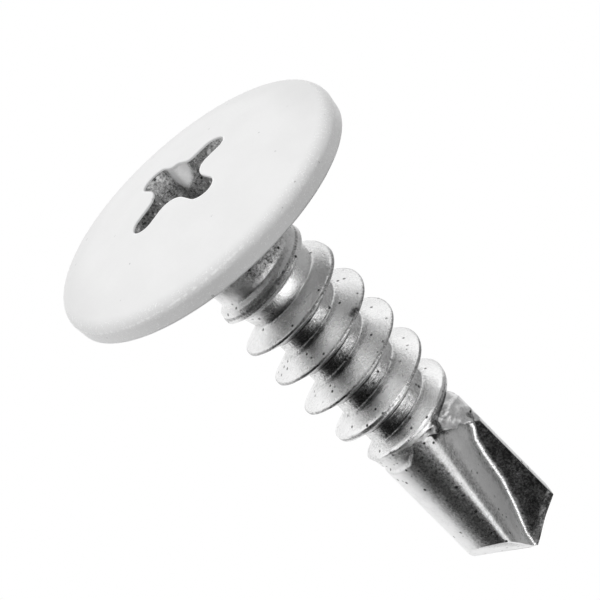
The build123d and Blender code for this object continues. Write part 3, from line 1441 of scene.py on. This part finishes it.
@dataclass(frozen=True)
class ZincFinish(Finish):
    """Bright zinc plating on cold formed steel, darkened by the mesh's grime and painted shade,
    speckled, and turned pale by its spray and painted light.
    """

    name: str = "zinc_plating"
    clean: float = 0.8
    # Colour of grime and painted shade.
    grime_and_shade_colour: float = 0.03
    pit_colour: float = 0.05
    # Colour of paint chips, dust and painted light.
    chip_dust_and_light_colour: float = 0.7
    roughness: float = 0.11
    matte: float = 0.48
    cloud: Noise = Noise(1.6, 6.0, 0.7)
    cloud_reach: Span = (0.3, 0.7)
    cloud_roughness: float = 0.08
    grain: Noise = Noise(12.0, 5.0, 0.7)
    specks: Noise = Noise(26.0, 3.0, 0.6)
    specks_in_stain: float = 0.6
    specks_in_bump: float = 0.4
    patches: Noise = Noise(3.4, 4.0, 0.65)
    patch_strength: float = 3.2
    swing: float = 6.0
    least_swing: float = 0.45
    pits: float = 3.2
    pit_edge: Span = (0.19, 0.12)
    pit_clouds: Span = (0.47, 0.53)
    chips: float = 3.6
    chip_edge: Span = (0.28, 0.2)
    chip_levels: Span = (-1.0, -1.4)
    dust_specks: float = 2.2
    dust_patches: float = 1.2
    dust_edge: Span = (0.35, 0.75)
    dust_from: Span = (0.0, 0.1)
    dust_cover: float = 0.9

    def looks(self, nodes: Nodes, place: Wire) -> tuple[dict[str, Term], Wire]:
        """Darken the plating by grime and painted shade, pit it, and put chips of paint, dust and
        painted light on it.

        Args:
            nodes: the material's nodes.
            place: coordinates in the screw's frame.

        Returns:
            The shader's inputs by name, and the height of the bump.
        """
        grime, matte, spray = (nodes.layer(layer) for layer in Layer)
        cloud, grain = nodes.noise(place, self.cloud), nodes.noise(place, self.grain)
        specks = nodes.noise(place, self.specks)
        patches = nodes.noise(place, self.patches) - 0.5

        swing = grime * (1.0 - grime) * self.swing + self.least_swing
        speckle = (specks - 0.5).scaled(self.specks_in_stain, grain - 0.5)
        # Grime and painted shade darken the plating.
        grime_and_shade = (matte * matte).scaled(patches * self.patch_strength, grime)
        grime_and_shade = speckle.scaled(swing, grime_and_shade, clamp=True)
        plate = nodes.mix(grime_and_shade, grey(self.clean), grey(self.grime_and_shade_colour))
        pits = nodes.span(nodes.dots(place, self.pits), *self.pit_edge)
        pits = pits * nodes.span(cloud, *self.pit_clouds)
        plate = nodes.mix(pits, plate, grey(self.pit_colour))

        chips = nodes.span(nodes.dots(place, self.chips), *self.chip_edge)
        chips = chips * nodes.span(nodes.parts(place)[2], *self.chip_levels)
        # Dust, and painted light on one wall of the recess, turn the plating pale.
        dust_and_painted_light = (specks - 0.5).scaled(self.dust_specks, patches * self.dust_patches)
        dust_and_painted_light = nodes.span(spray + dust_and_painted_light, *self.dust_edge)
        dust_and_painted_light = dust_and_painted_light * nodes.span(spray, *self.dust_from, 0.0, self.dust_cover)
        painted = nodes.math("MAXIMUM", chips, dust_and_painted_light)
        rough = matte.scaled(self.matte, self.roughness)
        clouded = nodes.span(cloud, *self.cloud_reach)
        inputs = {
            "Base Color": nodes.mix(painted, plate, grey(self.chip_dust_and_light_colour)),
            "Metallic": 1.0 - painted,
            "Roughness": clouded.scaled(self.cloud_roughness, rough),
        }
        return inputs, specks.scaled(self.specks_in_bump, grain)


@dataclass(frozen=True)
class PaintFinish(Finish):
    """White enamel on the head, with painted shade towards one side of the rim, and scuffs and a
    painted highlight along the rim.
    """

    name: str = "white_enamel"
    bump_strength: float = 0.3
    colour: float = 0.815
    colour_swing: float = 0.012
    shine: float = 0.3
    roughness: float = 0.28
    rubbed_roughness: float = 0.25
    rubbed_height: float = 0.5
    # Tone of the scuffs and the painted highlights.
    scuffs_and_highlight: float = 0.97
    dirt: float = 0.45
    cloud: Noise = Noise(0.6, 4.0, 0.5)
    cloud_reach: Span = (0.3, 0.7)
    grain: Noise = Noise(7.0, 4.0, 0.6)
    specks: Noise = Noise(22.0, 3.0, 0.6)
    # Painted shade: the outer zone of the dome is darker, except towards +Y.
    rim_shade: float = 0.075
    rim_shade_radii: Span = (3.6, 5.0)
    rim_shade_places: Span = (3.4, 0.4)
    rim_radii: Span = (5.1, 5.25)
    # Painted highlight: a bright line along the rim's shoulder, on one side.
    highlight_level: float = -0.74
    highlight_reach: Span = (0.05, 0.015)
    highlight_grain: Span = (0.44, 0.54)
    highlight_places: Span = (0.6, -0.6)
    scuff_specks: Span = (0.52, 0.6)
    scuff_grain: Span = (0.46, 0.56)
    dots: float = 1.3
    dot_edge: Span = (0.09, 0.05)
    dot_specks: Span = (0.45, 0.55)

    def looks(self, nodes: Nodes, place: Wire) -> tuple[dict[str, Term], Wire]:
        """Cloud the enamel, paint shade on its outer zone, scuff it and paint highlights along the
        rim and the mouth, and dot it with dirt.

        Args:
            nodes: the material's nodes.
            place: coordinates in the screw's frame.

        Returns:
            The shader's inputs by name, and the height of the bump.
        """
        east, north, level = nodes.parts(place)
        squares = nodes.math("POWER", east, 2.0) + nodes.math("POWER", north, 2.0)
        radius = nodes.math("SQRT", squares)
        cloud, grain = nodes.noise(place, self.cloud), nodes.noise(place, self.grain)
        specks = nodes.noise(place, self.specks)
        shades = (self.colour - self.colour_swing, self.colour + self.colour_swing)
        tone = nodes.span(cloud, *self.cloud_reach, *shades)
        # Painted shade on the dome's outer zone.
        rim_shade_side = nodes.span(north, *self.rim_shade_places, 0.0, self.rim_shade)
        tone = tone - nodes.span(radius, *self.rim_shade_radii) * rim_shade_side

        # Painted highlight along the rim's shoulder.
        edge = nodes.span(abs(level - self.highlight_level), *self.highlight_reach)
        edge = edge * nodes.span(grain, *self.highlight_grain) * nodes.span(east, *self.highlight_places)
        scuffs = nodes.span(specks, *self.scuff_specks) * nodes.span(grain, *self.scuff_grain)
        scuffs_and_highlight = nodes.math("MAXIMUM", edge, scuffs) * nodes.span(radius, *self.rim_radii)
        # The coat's layer adds the painted highlight along the recess's mouth.
        scuffs_and_highlight = nodes.math("MAXIMUM", scuffs_and_highlight, nodes.layer(Layer.GRIME_AND_PAINTED_LIGHT))
        dirt = nodes.span(nodes.dots(place, self.dots), *self.dot_edge)
        dirt = dirt * nodes.span(specks, *self.dot_specks)
        tone = nodes.choose(scuffs_and_highlight, tone, self.scuffs_and_highlight)
        inputs = {
            "Base Color": nodes.choose(dirt, tone, self.dirt),
            "Roughness": scuffs_and_highlight.scaled(self.rubbed_roughness, self.roughness),
            "Specular IOR Level": self.shine,
        }
        return inputs, scuffs_and_highlight.scaled(self.rubbed_height, grain)


@dataclass
class Screw:
    """The whole screw: one steel body and its coat of paint."""

    head: Head = field(default_factory=Head)
    thread: Thread = field(default_factory=Thread)
    drill: DrillPoint = field(default_factory=DrillPoint)
    wear_and_painted_light: WearAndPaintedLight = field(default_factory=WearAndPaintedLight)

    def steel(self, pose: RestPose, finish: bpy.types.Material) -> bpy.types.Object:
        """Build the steel body, whose head, thread and drill point share their end rings.

        Args:
            pose: how the screw lies.
            finish: the material.

        Returns:
            The piece.
        """
        skin = Skin()
        points, faces = self.thread.roll(finish)
        rings = self.head.tilted(self.head.steel_rings(self.thread.columns, self.thread.start))
        rings[-1] = self.thread.rim(points, self.thread.start)
        wear_and_painted_light = self.wear_and_painted_light.of_head(rings)
        index = skin.add_rings(rings, wear_and_painted_light)
        recess = self.head.recess
        tip = [0, 0, recess.depth + recess.tip_depth - self.head.height()]
        skin.add_fan(index[0], self.head.tilted([tip]), wear_and_painted_light[0, 0], starts=True)

        offset = skin.size()
        skin.add_points(points, self.wear_and_painted_light.of_thread(points, self.thread))
        skin.faces.extend(tuple(offset + corner for corner in face) for face in faces)

        rings = self.drill.rings(self.thread.rim(points, self.thread.end), self.thread)
        wear_and_painted_light = self.drill.wear_and_painted_light(rings, self.wear_and_painted_light)
        index = skin.add_rings(rings, wear_and_painted_light)
        skin.add_fan(index[-1], (0, 0, self.drill.length), wear_and_painted_light[-1, 0], starts=False)
        return self.piece("screw_body", skin, pose, finish)

    def paint(self, pose: RestPose, finish: bpy.types.Material) -> bpy.types.Object:
        """Build the coat of paint on the head.

        Args:
            pose: how the screw lies.
            finish: the material.

        Returns:
            The piece.
        """
        skin = Skin()
        rings = self.head.coat_rings()
        skin.add_rings(rings, self.wear_and_painted_light.of_coat(rings, self.head))
        return self.piece("head_paint", skin, pose, finish)

    @staticmethod
    def weld(mesh: bpy.types.Mesh) -> None:
        """Merge points that lie on each other, and report whether the surface is closed.

        Args:
            mesh: the mesh.
        """
        work = bmesh.new()
        work.from_mesh(mesh)
        bmesh.ops.remove_doubles(work, verts=work.verts, dist=WELD_DISTANCE)
        bmesh.ops.dissolve_degenerate(work, edges=work.edges, dist=FLAT_EDGE)
        LOG.info("%s: %d open edges, %d where faces turn over, %.1f mm3", mesh.name,
                 sum(not edge.is_manifold for edge in work.edges),
                 sum(not edge.is_contiguous for edge in work.edges),
                 work.calc_volume(signed=True) / MM**3)
        work.to_mesh(mesh)
        work.free()

    def piece(self, name: str, skin: Skin, pose: RestPose,
              finish: bpy.types.Material) -> bpy.types.Object:
        """Make a smooth piece of a surface.

        Args:
            name: the piece's name.
            skin: the surface.
            pose: how the screw lies.
            finish: the material.

        Returns:
            The piece.
        """
        mesh = skin.mesh(name, pose)
        made = linked(name, mesh)
        mesh.materials.append(finish)
        mesh.polygons.foreach_set("use_smooth", [True] * len(mesh.polygons))
        mesh.set_sharp_from_angle(angle=math.radians(SHARP_ANGLE))
        self.weld(mesh)
        return made


@dataclass(frozen=True)
class Glow:
    """A lit part of the tent, which comes in between two cosines of the angle to its middle."""

    middle: Point
    start: float
    full: float
    strength: float

    def seen(self, nodes: Nodes, way: Wire) -> Wire:
        """The part's light in each direction."""
        cosine = nodes.toward(way, self.middle)
        return nodes.span(cosine, self.start, self.full, 0.0, self.strength)


@dataclass
class Studio:
    """A pale floor, a light tent that is darker overhead, and the camera.

    Shiny metal sees the glows, which are bright below and at the head's side, with one soft panel
    overhead. Matte surfaces are lit by the softer fills.
    """

    to_camera: Point = (-0.1264, -0.3841, 0.9146)
    image_right: Point = (0.7756, 0.5365, 0.3325)
    distance: float = 0.4
    view_width: float = 18.75
    clip: Span = (0.01, 10.0)
    underside_pixel: Span = (210.65, 220.05)
    picture: int = 600
    floor_half: float = 0.6
    dark: float = 0.03
    from_below: Glow = Glow((0, 0, 1), -0.36, -0.72, 1.05)
    glows: tuple[Glow, ...] = (
        Glow((-1, 0.1, 0.1), 0.1, 0.6, 1.25),
        Glow((0.25, 0.95, 0.1), 0.55, 0.85, 0.42),
        Glow((0.6134, 0.2497, 0.7495), 0.965, 0.99, 2.0),
        Glow((0.9, -0.15, 0.41), 0.88, 0.96, 2.5),
    )
    fill: Glow = Glow((-0.853, 0.0, 0.52), 0.15, 0.8, 1.12)
    side_fill: Glow = Glow((0.1147, 0.9101, 0.3981), -0.3, -1.0, 0.3)
    both_sides: float = 0.55

    def camera(self, pose: RestPose) -> None:
        """Place the camera so that the underside's centre falls on its pixel.

        Args:
            pose: how the screw lies.
        """
        back = Vector(self.to_camera).normalized()
        right = Vector(self.image_right)
        right = (right - right.dot(back) * back).normalized()
        up = back.cross(right)
        scale = self.view_width / self.picture * MM
        across, down = (self.picture / 2 - value for value in self.underside_pixel)
        target = Vector(pose.origin) + right * (across * scale) - up * (down * scale)
        data = bpy.data.cameras.new("camera")
        data.lens = data.sensor_width * self.distance / (self.view_width * MM)
        data.clip_start, data.clip_end = self.clip
        camera = linked("camera", data)
        turned = Matrix((right, up, back)).transposed().to_4x4()
        camera.matrix_world = Matrix.Translation(target + back * self.distance) @ turned
        bpy.context.scene.camera = camera

    def floor(self) -> None:
        """Lay a pale floor that only the camera sees, so that the tent alone lights the screw."""
        half = self.floor_half
        corners = [(-half, -half, 0), (half, -half, 0), (half, half, 0), (-half, half, 0)]
        mesh = bpy.data.meshes.new("floor")
        mesh.from_pydata(corners, [], [(0, 1, 2, 3)])
        floor = linked("floor", mesh)
        material = bpy.data.materials.new("floor_white")
        material.use_nodes = True
        nodes = Nodes(material.node_tree)
        material.node_tree.nodes.clear()
        glow = nodes.out("ShaderNodeEmission", {"Color": grey(1.0), "Strength": 1.0})
        nodes.add("ShaderNodeOutputMaterial", {"Surface": glow})
        mesh.materials.append(material)
        floor.visible_diffuse = floor.visible_glossy = floor.visible_shadow = False

    def tent(self) -> None:
        """Light the screw from all sides, with a plain white background for the camera."""
        world = bpy.data.worlds.new("tent")
        bpy.context.scene.world = world
        world.use_nodes = True
        nodes = Nodes(world.node_tree)
        world.node_tree.nodes.clear()
        way = nodes.out("ShaderNodeTexCoord", output="Generated")
        light = self.from_below.seen(nodes, way) + self.dark
        for glow in self.glows:
            light = nodes.math("MAXIMUM", light, glow.seen(nodes, way))
        side = nodes.toward(way, self.side_fill.middle)
        soft = (side * side).scaled(self.both_sides, self.fill.seen(nodes, way))
        soft = soft + self.side_fill.seen(nodes, way)
        path = nodes.add("ShaderNodeLightPath").outputs
        light = nodes.choose(Wire(nodes, path["Is Diffuse Ray"]), light, soft)
        strength = nodes.choose(Wire(nodes, path["Is Camera Ray"]), light, 1.0)
        glow = nodes.out("ShaderNodeBackground", {"Color": grey(1.0), "Strength": strength})
        nodes.add("ShaderNodeOutputWorld", {"Surface": glow})

    def set_up(self, pose: RestPose) -> None:
        """Build the whole studio.

        Args:
            pose: how the screw lies.
        """
        bpy.context.scene.view_settings.view_transform = "Standard"
        self.camera(pose)
        self.floor()
        self.tent()


def corners(box: tuple[Vector, Vector]) -> list[list[float]]:
    """A box's two corners as plain lists."""
    return [list(corner) for corner in box]


def main() -> None:
    """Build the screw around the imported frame."""
    logging.basicConfig(level=logging.INFO, format="%(name)s: %(message)s")
    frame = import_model()
    pose = RestPose.from_record(frame["record"])
    screw = Screw()
    body = screw.steel(pose, ZincFinish(pose).build())
    coat = screw.paint(pose, PaintFinish(pose).build())
    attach(body, BODY)
    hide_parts(NODE)
    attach(coat, BODY)
    for piece in (body, coat):
        triangles = sum(len(face.vertices) - 2 for face in piece.data.polygons)
        LOG.info("%s: %d triangles", piece.name, triangles)
    Studio().set_up(pose)


if __name__ == "__main__":
    main()
